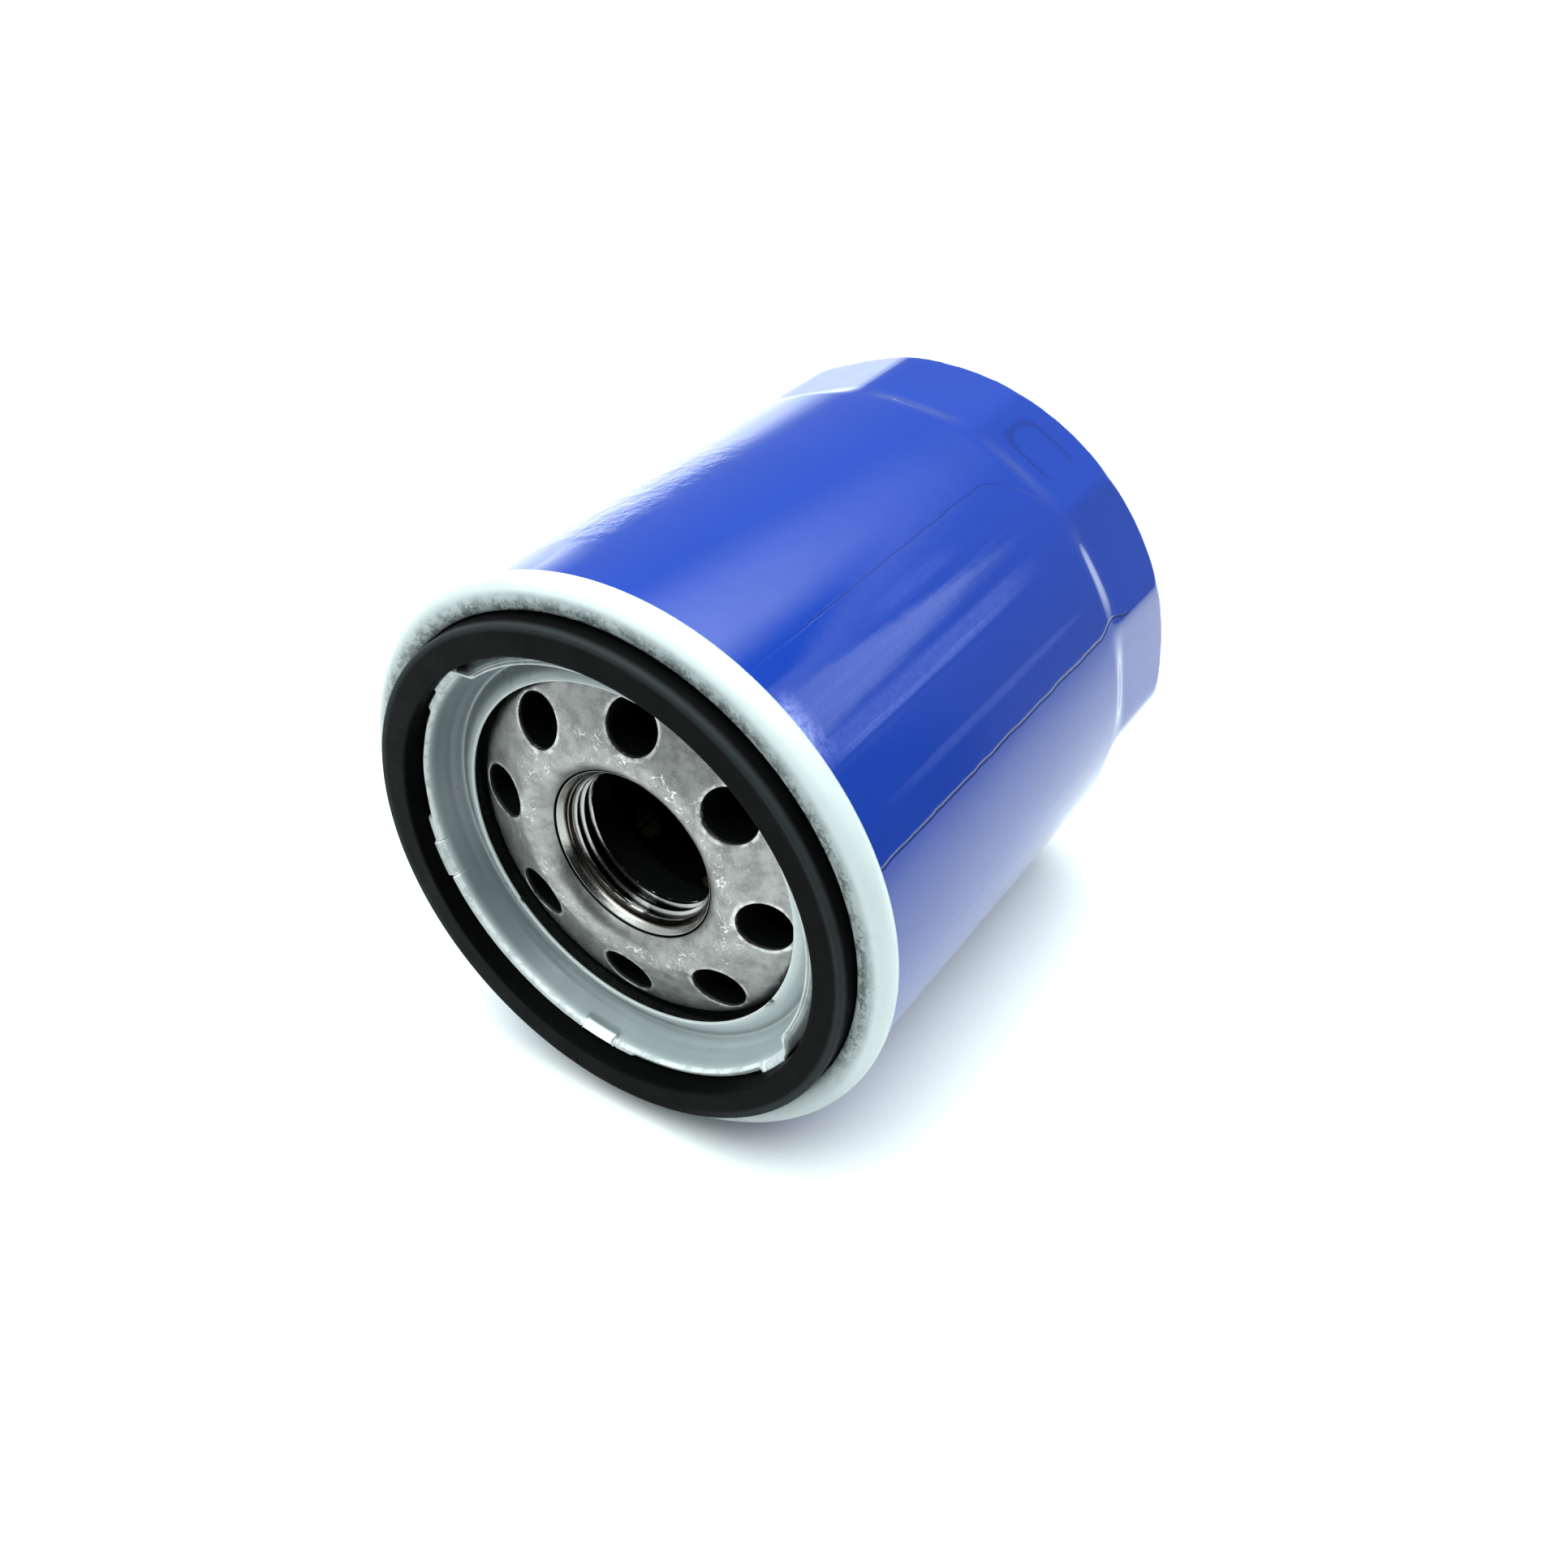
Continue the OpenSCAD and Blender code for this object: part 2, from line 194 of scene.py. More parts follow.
class Nodes:
    """Short names for building a material's or the world's nodes."""

    def __init__(self, tree):
        self.tree = tree

    def add(self, kind, links=(), **settings):
        node = self.tree.nodes.new("ShaderNode" + kind)
        for key, value in settings.items():
            if hasattr(node, key):
                setattr(node, key, value)
            else:
                node.inputs[key].default_value = value
        for name, source in dict(links).items():
            self.tree.links.new(source, node.inputs[name])
        return node

    def math(self, operation, a, b=0.0):
        node = self.tree.nodes.new("ShaderNodeMath")
        node.operation = operation
        for socket, value in zip(node.inputs, (a, b)):
            if isinstance(value, (int, float)):
                socket.default_value = value
            else:
                self.tree.links.new(value, socket)
        return node.outputs[0]

    def total(self, *values):
        result = values[0]
        for value in values[1:]:
            result = self.math("ADD", result, value)
        return result

    def product(self, *values):
        result = values[0]
        for value in values[1:]:
            result = self.math("MULTIPLY", result, value)
        return result

    def length(self, a, b):
        """Length of the vector (a, b)."""
        return self.math("SQRT", self.total(self.product(a, a), self.product(b, b)))

    def distance(self, value, centre):
        return self.math("ABSOLUTE", self.math("SUBTRACT", value, centre))

    def at_most_one(self, *values):
        """The values' sum, cut off at 1."""
        return self.math("MINIMUM", self.total(*values), 1.0)

    def ramp(self, value, start, end, low=0.0, high=1.0):
        """Smooth step of a value from low at start to high at end."""
        node = self.tree.nodes.new("ShaderNodeMapRange")
        node.interpolation_type = "SMOOTHSTEP"
        self.tree.links.new(value, node.inputs["Value"])
        for name, number in (("From Min", start), ("From Max", end), ("To Min", low), ("To Max", high)):
            node.inputs[name].default_value = number
        return node.outputs["Result"]

    def band(self, value, low_out, low_in, high_in, high_out):
        """1 between the inner limits, fading to 0 at the outer ones."""
        return self.product(self.ramp(value, low_out, low_in), self.ramp(value, high_in, high_out, 1, 0))

    def near(self, value, centre, inside, outside):
        """1 where a value lies within inside of a centre, fading to 0 at outside."""
        return self.ramp(self.distance(value, centre), inside, outside, 1, 0)

    def blend(self, factor, a, b):
        node = self.tree.nodes.new("ShaderNodeMix")
        node.data_type = "RGBA"
        for name, kind, value in (("Factor", "VALUE", factor), ("A", "RGBA", a), ("B", "RGBA", b)):
            socket = next(s for s in node.inputs if s.name == name and s.type == kind)
            if isinstance(value, (tuple, list)):
                socket.default_value = (*value, 1)
            elif isinstance(value, (int, float)):
                socket.default_value = value
            else:
                self.tree.links.new(value, socket)
        return next(s for s in node.outputs if s.type == "RGBA")

    def noise(self, vector, scale, detail=2.0, roughness=0.5, distortion=0.0):
        node = self.add("TexNoise", {"Vector": vector}, Scale=scale, Detail=detail,
                        Roughness=roughness, Distortion=distortion)
        return node.outputs["Fac"]


class Surface(Nodes):
    """A principled material on the object's own coordinates, in millimetres."""

    def __init__(self, name, **settings):
        self.material = bpy.data.materials.new(name)
        self.material.use_nodes = True
        super().__init__(self.material.node_tree)
        self.shader = self.tree.nodes["Principled BSDF"]
        for key, value in settings.items():
            self.shader.inputs[key.replace("_", " ")].default_value = value
        self.at = self.scaled(self.add("TexCoord").outputs["Object"], 1 / MM, 1 / MM, 1 / MM)
        split = self.add("SeparateXYZ", {"Vector": self.at})
        self.x, self.y, self.z = split.outputs
        self.radius = self.length(self.x, self.z)
        self.depth = self.math("SUBTRACT", self.y, FACE_Y)
        self.clock = self.product(self.math("ARCTAN2", self.x, self.z), 180 / math.pi)

    def scaled(self, vector, *factors):
        node = self.add("VectorMath", {0: vector}, operation="MULTIPLY")
        node.inputs[1].default_value = factors
        return node.outputs[0]

    def facing(self, clock_deg, inner_deg, outer_deg):
        """1 near a clock angle, fading to 0 away from it."""
        a = math.radians(clock_deg)
        along = self.total(self.product(self.x, math.sin(a)), self.product(self.z, math.cos(a)))
        cosine = self.math("DIVIDE", along, self.radius)
        return self.ramp(cosine, math.cos(math.radians(outer_deg)), math.cos(math.radians(inner_deg)))

    def set(self, socket, value):
        self.tree.links.new(value, self.shader.inputs[socket])

    def bump(self, height_mm):
        node = self.add("Bump", {"Height": height_mm}, Strength=1.0, Distance=MM)
        self.tree.links.new(node.outputs["Normal"], self.shader.inputs["Normal"])


def gloss_blue():
    """Wet-looking blue enamel: peel, slow waves, and a panel of painted highlight streaks edged by dark lines
    of painted reflection, with draw lines.
    """
    deep, blue = (0.0050, 0.0295, 0.235), (0.0070, 0.0350, 0.275)
    painted_streak_highlight, scraped, painted_reflection_edge = (0.062, 0.092, 0.36), (0.24, 0.27, 0.60), (0.001, 0.006, 0.055)
    s = Surface("blue_enamel", IOR=1.5)
    base = s.blend(s.noise(s.at, 0.06, 3), deep, blue)
    s.set("Roughness", s.ramp(s.noise(s.at, 0.25, 4), 0.3, 0.75, 0.035, 0.075))

    # the panel: its two long edges, drawn as dark lines of painted reflection, lean in at the far end
    along = s.noise(s.scaled(s.at, 0, 1, 0), 0.22, 3)
    lean = s.math("MAXIMUM", s.math("SUBTRACT", s.depth, 52.0), 0.0)
    first_edge = s.total(s.product(along, 0.9), s.product(lean, lean, 0.2), 27.8)
    step = s.near(s.depth, 60.2, 0.0, 3.6)
    last_edge = s.total(s.product(along, 1.1), s.product(step, -1.5), 67.75)
    past_first = s.math("SUBTRACT", s.clock, first_edge)
    past_last = s.math("SUBTRACT", s.clock, last_edge)
    first_reflection_edge = s.product(s.near(past_first, 0.0, 0.10, 0.42), s.band(s.depth, 11, 18, 60, 61), 0.28)
    last_reflection_edge = s.product(s.near(past_last, 0.0, 0.10, 0.42), s.band(s.depth, 0, 4, 63, 66), 0.9)
    inside = s.product(s.ramp(past_first, 0.0, 0.6), s.ramp(past_last, 0.0, -0.6),
                       s.ramp(s.depth, 61.0, 59.5))

    # painted highlight streaks along the can inside the panel: clock angle, half widths, depths, strength
    thin = s.noise(s.scaled(s.at, 1, 0.03, 1), 0.8, 4, 0.6)
    ragged = s.total(s.clock, s.product(thin, 2.4), -1.2)
    streaks = [
        s.product(s.near(ragged, clock, *half_widths), s.band(s.depth, *depths), strength)
        for clock, half_widths, depths, strength in (
            (40.4, (1.0, 2.6), (4, 8, 36, 47), 0.10), (46.6, (0.9, 2.6), (4, 9, 40, 54), 0.42),
            (48.3, (0.15, 0.6), (6, 12, 34, 50), 0.40), (34.2, (0.8, 2.2), (22, 30, 36, 44), 0.22),
            (60.4, (0.25, 0.9), (8, 22, 48, 57), 0.34))]
    fine = s.product(s.ramp(thin, 0.52, 0.62), s.band(s.clock, 33, 38, 49, 53), s.ramp(s.depth, 56, 40), 0.10)
    grain = s.noise(s.at, 1.3, 5, 0.75)
    streak_highlight = s.product(s.total(*streaks, fine), inside, s.ramp(grain, 0.30, 0.70, 0.7, 1.3))
    base = s.blend(streak_highlight, base, painted_streak_highlight)

    # a pale scrape where the seam meets the can
    scrape = s.product(s.band(ragged, 33, 38, 41, 50), s.ramp(s.depth, 9.2, 6.6),
                       s.ramp(grain, 0.28, 0.66), 0.62)
    base = s.blend(scrape, base, scraped)

    # a small rounded loop of painted reflection, a dark rim on one of the flats
    across = s.product(s.math("SUBTRACT", s.clock, 31.0), 1 / 8.0)
    down = s.product(s.math("SUBTRACT", s.depth, 67.2), 1 / 3.2)
    loop = s.length(s.product(across, across), s.product(down, down))
    loop = s.total(loop, s.product(s.noise(s.at, 0.5, 3), 0.5), -0.25)
    painted_reflection_loop = s.product(s.near(loop, 1.0, 0.08, 0.38), s.ramp(s.clock, 38, 34), 0.30)
    # the panel's edges and the loop on the flat darken the colour as painted reflection
    outline = s.at_most_one(first_reflection_edge, last_reflection_edge, painted_reflection_loop)
    s.set("Base Color", s.blend(outline, base, painted_reflection_edge))

    peel = s.product(s.noise(s.at, 0.38, 2), 0.010)
    waves = s.product(s.noise(s.scaled(s.at, 1, 0.35, 1), 0.11, 1), 0.12)
    drawn = s.product(thin, inside, 0.012)
    blotches = s.product(s.band(s.clock, -42, -33, -22, -10), s.band(s.depth, 10, 19, 34, 50),
                         s.noise(s.at, 0.34, 5, 0.65), 0.36)
    s.bump(s.total(peel, waves, drawn, blotches, s.product(outline, -0.03)))
    return s.material


def satin_primer():
    """Pale grey primer, scuffed dark along the seam, worn white along the lip, with painted shade in its
    channel and beside a burr, and painted light on its ring, rim and edges.
    """
    shade, grey, pale = (0.33, 0.365, 0.365), (0.42, 0.455, 0.455), (0.60, 0.645, 0.645)
    speckled, stained, scuffed = (0.26, 0.29, 0.29), (0.22, 0.25, 0.25), (0.06, 0.075, 0.075)
    painted_channel_shade, painted_trough_highlight = (0.108, 0.132, 0.138), (0.40, 0.43, 0.43)
    worn_edge_and_highlight, torn_edge_and_highlight, painted_burr_shade = (0.80, 0.82, 0.82), (0.97, 0.98, 0.98), (0.02, 0.025, 0.025)
    s = Surface("grey_primer", IOR=1.5)
    cloud = s.noise(s.at, 0.22, 4)
    base = s.blend(cloud, shade, grey)
    base = s.blend(s.ramp(s.noise(s.at, 3.0, 3), 0.60, 0.72, 0, 0.18), base, speckled)
    stains = s.product(s.ramp(s.noise(s.at, 0.42, 6, 0.7), 0.55, 0.68), s.ramp(s.radius, 31.2, 31.6), 0.35)
    base = s.blend(stains, base, stained)

    # painted shade in the channel inside the lip, less on its right side, and a painted highlight along its
    # trough
    channel = s.product(s.band(s.radius, 22.5, 23.9, 26.2, 26.7), s.ramp(s.depth, 2.7, 3.3))
    channel_shade_strength = s.math("SUBTRACT", 0.92, s.product(s.facing(115, 25, 85), 0.55))
    base = s.blend(s.product(channel, channel_shade_strength), base, painted_channel_shade)
    trough = s.product(s.near(s.radius, 24.62, 0.05, 0.26), s.ramp(s.depth, 5.8, 6.1))
    base = s.blend(s.product(trough, 0.5), base, painted_trough_highlight)

    # painted light: the ring's right side, the rim's outer right side, and close beside the gasket where its
    # shadow falls
    rim_front = s.ramp(s.depth, 3.4, 2.8)
    ring = s.product(s.band(s.radius, 22.0, 22.3, 23.5, 24.4), s.ramp(s.depth, 4.9, 5.1),
                     s.facing(100, 25, 75), 0.75)
    outer = s.product(s.ramp(s.radius, 33.2, 33.9), s.band(s.clock, -40, -5, 100, 130), 0.7)
    inner = s.product(s.band(s.radius, 31.4, 31.6, 32.0, 32.3), rim_front,
                      s.band(s.clock, -40, -20, 90, 110), 0.8)
    base = s.blend(s.at_most_one(ring, outer, inner), base, pale)

    # dark rub marks on the front of the seam, dense beside the gasket
    grit = s.total(s.product(s.noise(s.at, 0.8, 3, 0.6), 0.5), s.product(s.noise(s.at, 2.6, 5, 0.7), 0.5))
    scuff = s.product(s.band(s.radius, 31.3, 31.5, 32.3, 33.8), rim_front, s.ramp(grit, 0.47, 0.56),
                      s.band(s.clock, -100, -60, 100, 130))
    base = s.blend(s.product(scuff, 0.72), base, scuffed)

    # bare white edges: the lip's crown, its torn lugs and chips where the seam meets the can; a painted
    # highlight along the hole's edge
    wear = s.ramp(s.noise(s.at, 0.8, 5, 0.65), 0.42, 0.52)
    middle, reach, how_far = LEANING
    ends = (middle - reach, middle - reach + 5, middle + reach - 5, middle + reach)
    leaning = s.product(s.band(s.clock, *ends), s.ramp(s.depth, 4.1, 2.2), how_far)
    upright = s.total(s.radius, leaning)  # the radius the lip would have if it stood straight
    on_lip = s.product(s.band(upright, 26.2, 26.5, 27.75, 27.95), s.ramp(s.depth, 3.0, 2.6))
    crown = s.product(on_lip, s.ramp(upright, 26.7, 26.85, 1, 0.55), s.total(s.product(wear, 0.6), 0.4))
    # the folded lug gets a painted highlight, as white as the torn edges
    bent = s.product(s.band(s.radius, 25.3, 25.6, 27.75, 27.95), s.ramp(s.depth, 3.2, 2.8),
                     s.near(s.clock, BENT_TAB + 0.5, 4.7, 5.1))
    torn = s.product(on_lip, s.total(*[s.near(s.clock, slit, 0.2, 0.7) for slit in SLITS]))
    hole_edge_highlight = s.product(s.band(s.radius, 21.6, 21.9, 22.2, 22.6), 0.4)
    chips = s.product(s.ramp(s.noise(s.at, 1.1, 5, 0.7), 0.54, 0.60), s.band(s.depth, 5.1, 5.5, 6.6, 7.0),
                      s.ramp(s.radius, 33.4, 33.9))
    base = s.blend(s.product(s.at_most_one(crown, hole_edge_highlight, chips), 0.85), base, worn_edge_and_highlight)
    base = s.blend(s.at_most_one(bent, torn), base, torn_edge_and_highlight)
    # painted shade on the burr's shaded side
    burr_shaded_side = s.product(s.near(s.clock, BURR - 1.6, 0.35, 0.9),
                            s.band(s.radius, 21.6, 21.9, 22.3, 22.6), 0.9)
    base = s.blend(burr_shaded_side, base, painted_burr_shade)
    s.set("Base Color", base)
    s.set("Roughness", s.ramp(cloud, 0.3, 0.7, 0.27, 0.38))
    s.bump(s.total(s.product(s.noise(s.at, 1.6, 3), 0.012), s.product(s.noise(s.at, 0.25, 2), 0.05),
                   s.product(scuff, -0.03), s.product(chips, 0.06)))
    return s.material


def punched_plate():
    """Bare cold-rolled plate: fine tooth, stains, pale creases, painted highlight rims, and painted shade in
    the punched walls, thread valleys and groove.
    """
    dull, steel, bright = (0.185, 0.180, 0.176), (0.320, 0.312, 0.305), (0.44, 0.43, 0.42)
    creased, painted_rim_highlight, glinting = (0.86, 0.84, 0.81), (0.70, 0.68, 0.66), (0.95, 0.93, 0.90)
    painted_wall_shade, turned, browned = (0.020, 0.020, 0.020), (0.34, 0.327, 0.314), (0.135, 0.115, 0.100)
    painted_valley_shade, painted_groove_shade = (0.022, 0.020, 0.020), (0.012, 0.012, 0.012)
    s = Surface("punched_plate", Metallic=1.0)
    tooth = s.noise(s.at, 6.0, 3)
    base = s.blend(s.ramp(s.noise(s.at, 0.45, 6, 0.68), 0.32, 0.68), dull, steel)
    base = s.blend(s.ramp(s.noise(s.at, 2.2, 4, 0.7), 0.52, 0.70, 0, 0.35), base, bright)

    # creases run where two noises cross their middle values, broken up by a third
    lines = s.total(s.near(s.noise(s.at, 0.30, 3, 0.55, 0.4), 0.50, 0.0, 0.011),
                    s.near(s.noise(s.at, 0.52, 3, 0.5, 0.6), 0.49, 0.0, 0.012))
    broken = s.ramp(s.noise(s.at, 0.34, 3), 0.45, 0.56)
    crease = s.at_most_one(s.product(lines, broken, s.band(s.radius, 12.0, 13.0, 15.6, 17.0)))
    base = s.blend(s.product(crease, 0.9), base, creased)

    # painted highlight rims round the inlets; the sloping face lies at radius * slope + start
    slope, start = 0.3019, 0.523
    below = s.math("SUBTRACT", s.depth, s.total(s.product(s.radius, slope), start))
    fold = s.product(s.math("PINGPONG", s.math("SUBTRACT", s.clock, HOLE_CLOCK), 180 / HOLES), math.pi / 180)
    across = s.product(s.radius, s.math("SINE", fold))
    outwards = s.math("SUBTRACT", s.product(s.radius, s.math("COSINE", fold)), HOLE_PITCH_R)
    rim = s.product(s.near(s.length(across, outwards), 3.35, 0.12, 0.50),
                    s.ramp(s.noise(s.at, 0.7, 4, 0.65), 0.38, 0.58), s.ramp(below, 0.25, 0.15))
    base = s.blend(s.product(rim, 0.75), base, painted_rim_highlight)

    # painted shade in the punched walls; the mouth's turned steel, its brown shoulder, painted shade in the
    # thread's valleys and a painted glint; painted shade in the fine groove round the mouth
    wall = s.product(s.ramp(below, 0.18, 0.60), s.ramp(s.radius, 13.8, 14.3))
    lead = s.ramp(s.radius, 10.70, 10.62)
    brown = s.product(lead, s.ramp(s.depth, 6.90, 7.10), s.ramp(s.depth, 8.05, 7.90))
    valley_shade = s.product(lead, s.ramp(s.depth, 7.9, 8.1), s.ramp(s.radius, 9.42, 9.66))
    glint = s.product(lead, s.facing(188, 2.5, 9), s.ramp(s.depth, 7.6, 7.9), 0.8)
    groove = s.near(s.radius, GROOVE_R, 0.10, 0.17)
    for share, colour in ((wall, painted_wall_shade), (lead, turned), (brown, browned), (valley_shade, painted_valley_shade),
                          (glint, glinting), (groove, painted_groove_shade)):
        base = s.blend(share, base, colour)
    s.set("Base Color", base)
    rough = s.total(s.ramp(tooth, 0.3, 0.7, 0.38, 0.48), s.product(lead, -0.22), s.product(wall, 0.2))
    s.set("Roughness", rough)
    s.bump(s.total(s.product(tooth, 0.006), s.product(s.noise(s.at, 1.3, 3), 0.014), s.product(crease, 0.03)))
    return s.material


def rubber(name, low, high, roughness, specular, highlight_band_from=None):
    """Moulded rubber with a fine skin; its front may get a painted highlight band between two radii and
    outwards.
    """
    painted_edge_highlight = (0.020, 0.023, 0.024)
    s = Surface(name, IOR=1.45, Specular_IOR_Level=specular)
    bloom = s.noise(s.at, 0.25, 5, 0.6)
    base = s.blend(bloom, (low, low * 1.05, low), (high, high * 1.05, high))
    if highlight_band_from:
        # a painted highlight band on the front's outer rounded edge
        edge_highlight = s.product(s.ramp(s.radius, *highlight_band_from), s.ramp(s.depth, 1.2, 0.4),
                         s.band(s.clock, -170, -60, 130, 170))
        base = s.blend(edge_highlight, base, painted_edge_highlight)
    s.set("Base Color", base)
    s.set("Roughness", s.ramp(bloom, 0.3, 0.7, roughness - 0.06, roughness + 0.06))
    s.bump(s.total(s.product(s.noise(s.at, 4.0, 3), 0.010), s.product(s.noise(s.at, 0.4, 2), 0.03)))
    return s.material


def plated(name, low, high, roughness, grain):
    """Zinc-plated or bare strip with rolling grain."""
    s = Surface(name, Metallic=1.0)
    rolled = s.noise(s.scaled(s.at, *grain), 1.2, 4)
    s.set("Base Color", s.blend(rolled, (low,) * 3, (high, high * 0.99, high * 0.95)))
    s.set("Roughness", s.ramp(rolled, 0.3, 0.7, roughness - 0.06, roughness + 0.08))
    s.bump(s.product(rolled, 0.01))
    return s.material


def paper():
    """Resin-dipped filter paper: fibres and soft mottling."""
    s = Surface("filter_paper")
    fibres = s.noise(s.scaled(s.at, 1, 0.3, 1), 3.0, 5, 0.7)
    s.set("Base Color", s.blend(fibres, (0.10, 0.070, 0.036), (0.17, 0.125, 0.068)))
    s.set("Roughness", s.ramp(fibres, 0.2, 0.8, 0.75, 0.95))
    s.bump(s.product(fibres, 0.05))
    return s.material


def cured_resin(name, low, high):
    """Poured plastisol or sealing compound, slightly lumpy."""
    s = Surface(name)
    lumps = s.noise(s.at, 0.6, 3)
    s.set("Base Color", s.blend(lumps, low, high))
    s.set("Roughness", s.ramp(lumps, 0.3, 0.7, 0.38, 0.55))
    s.bump(s.product(lumps, 0.06))
    return s.material


BLUE = gloss_blue()
PRIMER = satin_primer()
PLATE = punched_plate()
GASKET = rubber("gasket_rubber", 0.0005, 0.0015, 0.52, 0.04, highlight_band_from=(30.2, 30.8))
VALVE = rubber("valve_rubber", 0.007, 0.014, 0.6, 0.2)
ZINC = plated("plated_steel", 0.42, 0.60, 0.35, (1, 0.15, 1))
BLACKED = plated("blacked_steel", 0.03, 0.06, 0.50, (1, 0.15, 1))
SPRING = plated("spring_steel", 0.35, 0.52, 0.26, (1, 1, 1))
PAPER = paper()
GLUE = cured_resin("plastisol", (0.30, 0.05, 0.03), (0.46, 0.09, 0.06))
SEALANT = cured_resin("seam_compound", (0.05, 0.05, 0.05), (0.09, 0.09, 0.09))


# --------------------------------------------------------------------- can

CAN_R, CAN_T, CAN_LEN = 33.8, 0.5, 76.0  # outer radius, sheet thickness, depth of the closed end
CAN_COLUMNS = 392  # 28 for each flat
FLATS, FLAT_CLOCK, FLAT_REACH = 14, 4.8, 33.015  # how many, the first one's clock angle, axis to flat
RAMP_START, FLAT_START = 58.8, 62.6  # depths between which the round wall runs into the flats
RAMP_ROWS = (56, 66)  # depths with closer rows of points
HOOK = (CAN_R - 1, 3.3, 3.8)  # the flange in the seam: inner radius, first and last depth


def can():
    """The drawn can as one closed skin, with 14 soft flats pressed into its far end."""
    def half(inset):
        end = CAN_LEN - inset
        return rounded([(0, end - 0.8), (20 + inset, end - 0.8, 0.5), (20.5 + inset, end, 0.5),
                        (CAN_R - inset, end, 4 - inset), (CAN_R - inset, 4.0)], closed=False, arc_deg=6)

    outer, inner = half(0), half(CAN_T)[::-1]
    outer, inner = refined(outer, 2.5, False), refined(inner, 4, False)

    def with_ramp_rows(points, step):
        """The same outline, with closer rows on its wall where the ramps run into the flats."""
        radius = points[:, 0].max()
        on_wall = np.abs(points[:, 0] - radius) < 1e-6
        outside = (points[:, 1] < RAMP_ROWS[0] - 0.3) | (points[:, 1] > RAMP_ROWS[1] + 0.2)
        rows = np.arange(*RAMP_ROWS, step)
        side = np.concatenate([points[on_wall & outside], np.stack([np.full(len(rows), radius), rows], 1)])
        return np.concatenate([points[~on_wall], side[np.argsort(-side[:, 1])]])

    outer = with_ramp_rows(outer, 0.4)
    inner = with_ramp_rows(inner[::-1], 0.8)[::-1]
    hook_r, hook_start, hook_end = HOOK
    hook = np.array([[CAN_R, hook_start], [hook_r, hook_start],
                     [hook_r, hook_end], [CAN_R - CAN_T, hook_end]])
    outline = np.concatenate([outer, hook, inner])
    inset = np.concatenate([np.zeros(len(outer) + 2), np.full(len(inner) + 2, CAN_T)])
    clocks = np.radians(np.arange(CAN_COLUMNS) * 360 / CAN_COLUMNS)

    def warp(radius, depth, clock):
        pitch = 2 * math.pi / FLATS
        off = (clock - math.radians(FLAT_CLOCK) + pitch / 2) % pitch - pitch / 2
        plane = smooth_min(FLAT_REACH / np.cos(off), np.full_like(off, CAN_R), 0.3) - inset
        share = np.clip((depth - RAMP_START) / (FLAT_START - RAMP_START), 0, 1)
        share = share * share * (3 - 2 * share)
        return radius + (np.minimum(radius, plane) - radius) * share, depth, clock

    points, faces = lathe(outline, clocks, warp)
    return solid("painted_can", points, faces, BLUE, ["housing_can"], crease=40)


# --------------------------------------------------------------------- lid

